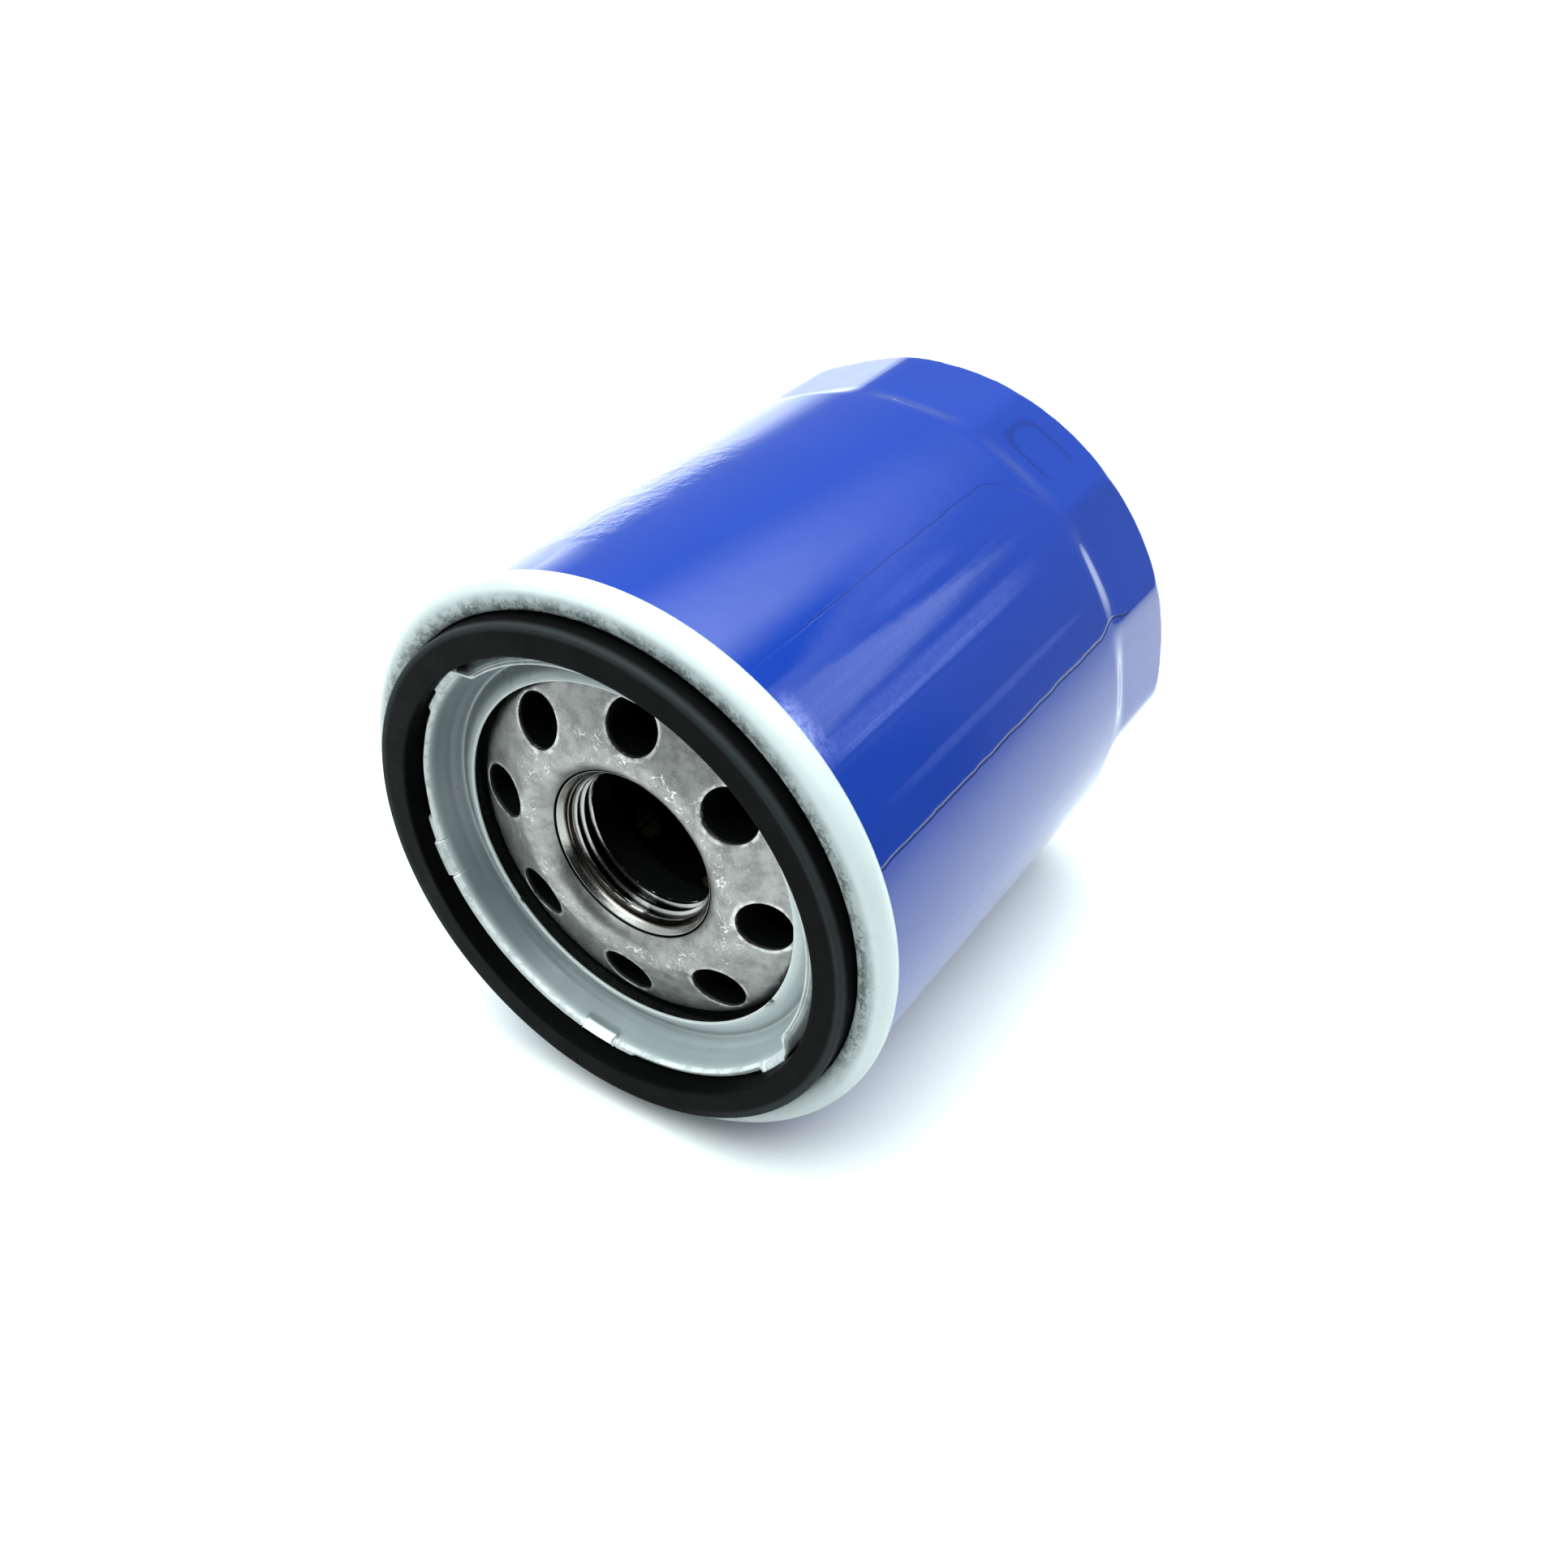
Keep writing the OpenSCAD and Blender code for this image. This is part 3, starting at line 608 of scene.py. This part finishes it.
def lid():
    """The pressed lid: rolled seam, gasket groove, folded lip with bent lugs, and a ribbed ring."""
    # corners are (radius, depth, fillet); the seam is two arcs round one centre
    seam = (32.65, 4.4)
    hole_r = 22.0
    wall = [(31.45, 7.6, 0.35), (31.45, 2.62, 0.25)]
    over = arc(seam, 2.2, -118, 58, 34)
    under = arc(seam, 1.6, 44, -112, 14)
    back = [(32.05, 8.2, 0.5), (26.9, 8.2, 0.4), (26.9, 3.9, 0.2), (25.2, 6.85, 0.3), (24.6, 7.1, 0.2),
            (22.9, 6.0, 0.6), (hole_r, 5.58, 0.15)]
    front = [(hole_r, 5.2, 0.15), (22.9, 5.5, 0.8), (24.2, 6.3, 0.5), (24.62, 6.5, 0.22), (25.5, 5.2, 1.5),
             (26.35, 3.4, 0.6), (26.75, 2.3, 0.16), (27.3, 2.12, 0.15), (27.5, 2.4, 0.2), (27.5, 7.6, 0.35)]
    ends = [tuple(over[0]), tuple(over[-1]), tuple(under[0]), tuple(under[-1])]
    loose = rounded(wall + ends + back + front, arc_deg=15)
    first = int(np.argmin(np.linalg.norm(loose - over[0], axis=1)))
    outline = refined(np.concatenate([loose[:first], over, under, loose[first + len(ends):]]), 0.35)
    extra = [slit + d for slit in SLITS for d in (-0.7, -0.42, -0.28, -0.14, 0, 0.14, 0.28, 0.42, 0.7)]
    extra += [lug + d for lug in LUGS for d in (-5.6, -5.2, -4.8, 4.8, 5.2, 5.6)]
    extra += [BURR + d for d in (-0.9, -0.5, -0.25, 0, 0.25, 0.5, 0.9)]
    clocks = even_clocks(400, extra)

    def warp(radius, depth, clock):
        def stretch(centre, reach, edge):
            """1 within reach of a clock angle, falling to 0 over its edge."""
            return np.clip((reach - np.abs(turn_gap(clock, centre))) / edge, 0, 1)

        on_lip = np.clip((4.1 - depth) / 1.9, 0, 1) * (radius > 25.9) * (radius < 27.9)
        middle, reach, how_far = LEANING
        leaning = stretch(middle, reach, 5)
        leaning = leaning * leaning * (3 - 2 * leaning)
        lean = how_far * leaning * on_lip

        # the lugs flare outwards, and one is folded inwards
        lug = sum(stretch(centre, 5.3, 0.5) for centre in LUGS) * on_lip ** 2
        radius = radius + 0.30 * lug * (1 - leaning)
        depth = depth - 0.12 * lug
        bent = stretch(BENT_TAB, 5.0, 0.4) * on_lip ** 1.5
        radius, depth = radius - 0.75 * bent, depth - 0.15 * bent

        # tears, low stretches and a ragged stretch along the crown
        slit = sum(stretch(centre, 0.32, 0.32) for centre in SLITS)
        depth = depth + 0.5 * slit * on_lip
        sunk = sum(drop * stretch(centre, reach, 0.6) for centre, reach, drop in SUNK)
        depth = depth + sunk * np.clip((radius - 26.98) / 0.15, 0, 1) * on_lip
        ragged = 0.5 * np.sin(7 * clock) + 0.5 * np.sin(19 * clock + math.radians(40))
        depth = depth + 0.10 * ragged * bell(turn_gap(clock, -75), 28) * on_lip
        radius = radius - lean

        # pressing ribs in the channel, and burrs on the hole's edge
        on_wall = (depth > 3.0) * (depth < 6.6) * (radius < 26.6) * (radius > 22.2)
        ribs = ((25.75, 0.16, 0.07), (25.2, 0.14, 0.06), (23.2, 0.14, 0.05))
        depth = depth - on_wall * sum(height * bell(radius - rib_r, width) for rib_r, width, height in ribs)
        burrs = ((BURR, 0.8, 0.35, 1.0), (-130, 0.5, 0.3, 0.4))
        burr = sum(height * bell(turn_gap(clock, centre), turn) * bell(radius - hole_r, width)
                   for centre, turn, width, height in burrs)
        return radius, depth - burr * (depth < 5.7), clock

    points, faces = lathe(outline, clocks, warp)
    return solid("seamed_lid", points, faces, PRIMER, ["seaming_lid"], crease=50)


# ------------------------------------------------------------------ gasket

def gasket():
    """Square ring that sags a little in its groove, with rounded corners and a small nick."""
    corners = [(27.65, 0.0, 0.3), (31.30, 0.0, 0.35), (31.25, 7.55, 0.3), (27.55, 7.55, 0.3)]
    outline = refined(rounded(corners, arc_deg=7), 0.5)
    nick_clock = -170
    clocks = even_clocks(360, [nick_clock + d for d in (-0.6, -0.4, -0.2, 0.2, 0.4, 0.6)])

    def warp(radius, depth, clock):
        nick = 0.12 * bell(turn_gap(clock, nick_clock), 0.3) * bell(radius - 29.6, 0.35) * (depth < 1)
        swell = (0.01 * np.sin(3 * clock) + 0.0075 * np.sin(7 * clock + 1)) * (depth < 2)
        sag = 0.32 * np.clip(1 - depth / 2.2, 0, 1)
        x, z = radius * np.sin(clock) - 0.15 * sag, radius * np.cos(clock) - sag
        return np.hypot(x, z), depth + nick + swell + 0.02, np.arctan2(x, z)

    points, faces = lathe(outline, clocks, warp)
    return solid("square_gasket", points, faces, GASKET, ["sealing_gasket"])


# ------------------------------------------------------------------- plate

HOLE_HALF = np.array([3.3, 3.16])  # along the circle of holes and across it
EDGE_R = 0.10  # the rounding of the inlets' edges
PLATE_BACK = 10.0
INNER_R, OUTER_R = 12.5, 23.0  # between these the plate is made of one sector for each inlet
ARC_STEPS, SIDE_STEPS = 30, 16  # points along a sector's arcs and sides

# The face, from the mouth over its crest and down the slope to the flange under the gasket.
MOUTH_R, MOUTH_DEPTH = 10.8, 6.3
CREST_R, CREST_DEPTH, CREST_ROUND, SLOPE = 14.2, 4.9, 2.0, math.radians(16.8)
THROAT = np.linspace(1, 0, 25)
THROAT_POWER = 3.5  # the larger, the more suddenly the face turns down into the mouth
TURNED = np.linspace(0, SLOPE, 8)[1:]
FLANGE_DEPTH, FLANGE_R = 8.2, 31.5
FACE = np.concatenate([
    np.stack([CREST_R - (CREST_R - MOUTH_R) * THROAT,
              CREST_DEPTH + (MOUTH_DEPTH - CREST_DEPTH) * THROAT ** THROAT_POWER], 1),
    np.stack([CREST_R + CREST_ROUND * np.sin(TURNED), CREST_DEPTH + CREST_ROUND * (1 - np.cos(TURNED))], 1),
    [(21.5, 7.014), (22.5, FLANGE_DEPTH), (FLANGE_R, FLANGE_DEPTH)]])

# The thread, and the countersink and shoulder before it as (depth, radius).
PITCH, MINOR_R, MAJOR_R = 1.5, 9.19, 10.0
THREAD_START, THREAD_END = 6.36, 10.91
THREAD_SHIFT = 0.94  # sets where its crests lie
ROWS_PER_TURN = 24
NECK_R, NECK_END = 12.2, 11.31
LEAD = np.array([(6.30, 10.62), (6.90, 10.15), (7.15, 10.00), (7.60, 9.88), (8.00, 9.74), (8.30, 9.30),
                 (8.60, MINOR_R)])


def face_depth(radius):
    """Depth of the plate's domed face."""
    return np.interp(radius, FACE[:, 0], FACE[:, 1])


def lead_radius(depth):
    """Radius of the opening before the thread."""
    return np.interp(depth, LEAD[:, 0], LEAD[:, 1])


def plate():
    """The thick plate: a domed ring with eight rounded inlets, and a real helical thread."""
    columns = HOLES * ARC_STEPS
    column_clock = np.radians(HOLE_CLOCK - 180 / HOLES + np.arange(columns) * 360 / columns)
    points, faces = [], []
    total = 0

    def rows_round(rows):
        """Joins rings of points, each one radius and depth per column."""
        nonlocal total
        radius = np.stack([np.broadcast_to(r, columns) for r, _ in rows], 1)
        depth = np.stack([np.broadcast_to(d, columns) for _, d in rows], 1)
        clock = np.broadcast_to(column_clock[:, None], radius.shape)
        points.append(place(radius, depth, clock).reshape(-1, 3))
        faces.extend(grid_faces(columns, len(rows), False, total))
        total += radius.size

    # the edge of one hole's sector, all the way round
    half = math.radians(180 / HOLES)
    sweep = np.linspace(-half, half, ARC_STEPS + 1)
    rise = np.linspace(INNER_R, OUTER_R, SIDE_STEPS + 1)
    edge_r = np.concatenate([np.full(ARC_STEPS, INNER_R), rise[:-1],
                             np.full(ARC_STEPS, OUTER_R), rise[:0:-1]])
    edge_clock = np.concatenate([sweep[:-1], np.full(SIDE_STEPS, half),
                                 sweep[:0:-1], np.full(SIDE_STEPS, -half)])
    edge = np.stack([edge_r * np.sin(edge_clock), edge_r * np.cos(edge_clock)], 1)
    out = edge - [0, HOLE_PITCH_R]
    out /= np.linalg.norm(out, axis=1)[:, None]
    rim = [0, HOLE_PITCH_R] + out * HOLE_HALF
    front = []  # (points, how far the rounded edge has dropped)
    for share in (0, 0.07, 0.22, 0.43, 0.68, 1.0):
        drop = EDGE_R * (1 - math.sqrt(1 - (1 - share) ** 2))
        front.append((rim + out * EDGE_R * share, drop))
    ledge = front[-1][0]
    front += [(ledge + (edge - ledge) * k / 14, 0) for k in range(1, 15)]
    rings = [(ring, drop, 0.0) for ring, drop in front[::-1]]
    rings += [(rim, EDGE_R, k / 5) for k in range(1, 5)]
    rings += [(rim + (edge - rim) * k / 4, EDGE_R, 1.0) for k in range(5)]
    for hole in range(HOLES):
        turn = math.radians(HOLE_CLOCK + hole * 360 / HOLES)
        stack = []
        for ring, drop, share in rings:
            radius = np.linalg.norm(ring, axis=1)
            depth = face_depth(radius) + drop
            depth = depth + (PLATE_BACK - depth) * share
            clock = np.arctan2(ring[:, 0], ring[:, 1]) + turn
            stack.append(place(radius, depth, clock))
        stack = np.stack(stack, 1)
        points.append(stack.reshape(-1, 3))
        faces.extend(grid_faces(len(edge), len(rings), False, total))
        total += stack.shape[0] * stack.shape[1]

    # the slope down to the mouth, with the fine groove round it
    start_ring = (lead_radius(np.array(THREAD_START)), THREAD_START)
    rows_round([(r, face_depth(r)) for r in (INNER_R, 12.3, 12.1, 11.9, 11.7, 11.5, 11.3, 11.15, 11.0, 10.9)]
               + [(10.88, 6.36), (GROOVE_R, 6.58), (10.70, 6.44), (10.65, 6.31), (10.61, 6.32), start_ring])

    # the thread, on rows that follow its helix; its crest is an eighth of the pitch to each side
    step = PITCH / ROWS_PER_TURN
    rows = int((THREAD_END - THREAD_START) / step) + ROWS_PER_TURN + 4
    turn_share = np.arange(columns) / columns
    depth = THREAD_START - PITCH + step * (np.arange(rows)[None, :]) + PITCH * turn_share[:, None]
    phase = (np.arange(rows) * step + THREAD_SHIFT) % PITCH
    off_crest = np.minimum(phase, PITCH - phase)
    flank = np.clip((off_crest - PITCH / 8) / (PITCH / 2 - PITCH / 8 - PITCH / 16), 0, 1)
    groove = np.broadcast_to(MINOR_R + flank * (MAJOR_R - MINOR_R), depth.shape)
    depth = np.clip(depth, THREAD_START, THREAD_END)
    radius = smooth_max(groove, lead_radius(depth), 0.04)
    radius = np.where(depth <= THREAD_START + 1e-9, start_ring[0], radius)
    radius = np.where(depth >= THREAD_END - 1e-9, MINOR_R, radius)
    clock = np.broadcast_to(column_clock[:, None], depth.shape)
    points.append(place(radius, depth, clock).reshape(-1, 3))
    j, i = np.meshgrid(np.arange(columns), np.arange(rows - 1), indexing="ij")
    last = j == columns - 1
    j2 = np.where(last, 0, j + 1)
    i2 = np.where(last, i + ROWS_PER_TURN, i)
    keep = i2 + 1 < rows
    quads = np.stack([j * rows + i, j2 * rows + i2, j2 * rows + i2 + 1, j * rows + i + 1], -1)[keep]
    faces.extend((quads + total).tolist())
    total += depth.size

    # the neck behind the plate, and the flange outside the holes
    bevel = 0.1
    rows_round([(MINOR_R, THREAD_END), (MINOR_R + 0.4, NECK_END), (11.0, NECK_END),
                (NECK_R - bevel, NECK_END), (NECK_R, NECK_END - bevel), (NECK_R, 10.6),
                (NECK_R, PLATE_BACK + bevel), (NECK_R + bevel, PLATE_BACK), (INNER_R, PLATE_BACK)])
    flange = (OUTER_R, 25.0, 28.0, FLANGE_R - bevel)
    rows_round([(r, FLANGE_DEPTH) for r in flange]
               + [(FLANGE_R, FLANGE_DEPTH + bevel), (FLANGE_R, PLATE_BACK - bevel)]
               + [(r, PLATE_BACK) for r in flange[::-1]])
    return solid("threaded_plate", np.concatenate(points), faces, PLATE, ["base_plate"],
                 crease=28)


# ----------------------------------------------------------------- springs

def spring(name, node, coil_r, wire_r, start, end, turns, ride=True):
    """Round wire wound as a helix, from one depth to another, whose end turns lie closer together."""
    sides, steps = 12, 48 * turns
    t = np.linspace(0, 1, steps + 1)
    pace = 0.35 + 0.65 * np.clip(np.minimum(t, 1 - t) * turns / 0.8, 0, 1)  # its climb, 1 in the middle
    rise = np.concatenate([[0], np.cumsum((pace[1:] + pace[:-1]) / 2)])
    along = start + wire_r + rise / rise[-1] * (end - start - 2 * wire_r)
    clock = math.pi / 2 + 2 * math.pi * turns * t
    a = np.arange(sides) * 2 * math.pi / sides
    radius = coil_r + wire_r * np.cos(a)[None, :]
    depth = along[:, None] + wire_r * np.sin(a)[None, :]
    points = place(radius, depth, np.broadcast_to(clock[:, None], depth.shape)).reshape(-1, 3)
    k, j = np.meshgrid(np.arange(steps), np.arange(sides), indexing="ij")
    j2 = (j + 1) % sides
    faces = np.stack([k * sides + j, k * sides + j2, (k + 1) * sides + j2, (k + 1) * sides + j], -1)
    faces = faces.reshape(-1, 4).tolist()
    faces += [list(range(sides)), list(range(steps * sides, (steps + 1) * sides))]
    return solid(name, points, faces, SPRING, [node], crease=50, ride=ride)


can()
lid()
gasket()
plate()
spring("element_coil", "element_spring", 14, 0.9, 62.05, 74.65, 3)
VALVE_COIL = (45.55, 58.95)  # its first and last depth
valve_coil = spring("bypass_coil", "bypass_spring", 5, 0.6, *VALVE_COIL, 6, ride=False)
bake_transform(valve_coil)

# The pieces inside keep their CAD shape and get a real finish.
FINISHES = {
    "seam_sealant": SEALANT, "drainback_collar": VALVE, "drainback_flap": VALVE,
    "outlet_end_cap": BLACKED, "outlet_cap_adhesive": GLUE, "pleated_media": PAPER, "media_seam_clip": ZINC,
    "centre_tube": BLACKED, "inner_end_cap": ZINC, "inner_cap_adhesive": GLUE, "bypass_cage": BLACKED,
    "bypass_seal": VALVE, "bypass_poppet": BLACKED, "spring_seat": ZINC,
}
for node_name, material in FINISHES.items():
    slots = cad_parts[node_name].data.materials
    slots.clear()
    slots.append(material)


# ------------------------------------------------------------ table, light

def table():
    """A white table top: the filter rests on its seam and on the far end of its can."""
    (front_y, front_z), (rear_y, rear_z) = (-3.5, -34.86), (52.6, -33.81)
    slope = (rear_z - front_z) / (rear_y - front_y)
    xs = np.concatenate([np.linspace(-3000, -300, 10), np.linspace(-200, 160, 9), [188]])
    ys = np.concatenate([[-260], np.linspace(-200, 300, 11), np.linspace(600, 3500, 8)])
    points = [(x * MM, y * MM, (front_z + (y - front_y) * slope) * MM) for x in xs for y in ys]
    count = len(ys)
    faces = [[i * count + j, i * count + j + 1, (i + 1) * count + j + 1, (i + 1) * count + j]
             for i in range(len(xs) - 1) for j in range(count - 1)]
    mesh = bpy.data.meshes.new("table_top")
    mesh.from_pydata(points, [], faces)
    mesh.flip_normals()
    top = bpy.data.objects.new("table_top", mesh)
    bpy.context.scene.collection.objects.link(top)
    s = Surface("white_table", Roughness=0.55)
    white = s.blend(s.noise(s.at, 0.02, 2), (0.80,) * 3, (0.82,) * 3)
    s.set("Base Color", s.blend(s.ramp(s.x, 75, 185), white, (0.43,) * 3))  # painted shade: greyer towards its right edge
    mesh.materials.append(s.material)


def studio():
    """Soft light from above and from the left, a dark room in front, and white for the camera."""
    world = bpy.data.worlds.new("studio")
    bpy.context.scene.world = world
    world.use_nodes = True
    n = Nodes(world.node_tree)
    n.tree.nodes.clear()
    split = n.add("SeparateXYZ", {"Vector": n.add("TexCoord").outputs["Generated"]})
    x, y, z = split.outputs
    rise = n.product(n.math("ARCSINE", z), 180 / math.pi)
    turn = n.product(n.math("ARCTAN2", x, y), 180 / math.pi)  # 0 looks along +Y, 90 along +X
    soft_box = n.product(n.ramp(rise, 33, 62), 5.3)
    window = n.product(n.band(turn, 26.5, 28.5, 39, 43), n.band(rise, 24, 28, 35, 41), 1.5)
    low_left = n.product(n.band(turn, -150, -100, -50, -24), n.ramp(rise, 14, -2), 2.5)
    key = n.product(n.band(turn, -170, -140, -85, -60), n.band(rise, -4, 6, 40, 62), 1.1)
    side = n.product(n.band(turn, 55, 80, 105, 130), n.band(rise, 18, 32, 70, 85), 0.9)

    def less(amount):
        return n.math("SUBTRACT", 1.0, amount)

    # darker stretches: low on the right, a gap in the soft box, the room in front, and the near right
    right = n.product(n.band(turn, 40, 44, 100, 140), n.ramp(rise, 24, 14), 0.62)
    gap = n.product(n.band(turn, -1, 16, 22, 26), n.band(rise, 38.5, 42, 50, 58), 0.95)
    room = n.product(n.ramp(n.math("ABSOLUTE", turn), 60, 110), n.ramp(rise, 60, 40), 0.75)
    near_right = n.product(n.ramp(x, -0.35, 0.4), n.ramp(y, 0.1, -0.45), n.ramp(rise, 66, 34), 0.85)
    walls = n.product(less(right), 0.40)
    light = n.product(n.total(walls, soft_box, window), less(gap), less(room), less(near_right))
    light = n.total(light, low_left, key, side)
    seen = n.add("LightPath").outputs["Is Camera Ray"]
    level = n.total(n.product(light, less(seen)), n.product(seen, 1.6))
    shade = n.add("Background", {"Strength": level}, Color=(0.89, 1.0, 1.0, 1))
    output = n.add("OutputWorld")
    n.tree.links.new(shade.outputs[0], output.inputs["Surface"])


def camera():
    """In front of the open end, above it and to its right."""
    data = bpy.data.cameras.new("camera")
    data.lens, data.sensor_width = 37.27, 36
    data.clip_start, data.clip_end = 0.005, 20
    eye = bpy.data.objects.new("camera", data)
    eye.location = (0.09026, -0.10694, 0.11419)
    eye.rotation_euler = (math.radians(52.84), 0, math.radians(33.63))
    bpy.context.scene.collection.objects.link(eye)
    bpy.context.scene.camera = eye


table()
studio()
camera()
bpy.context.scene.view_settings.view_transform = "Standard"
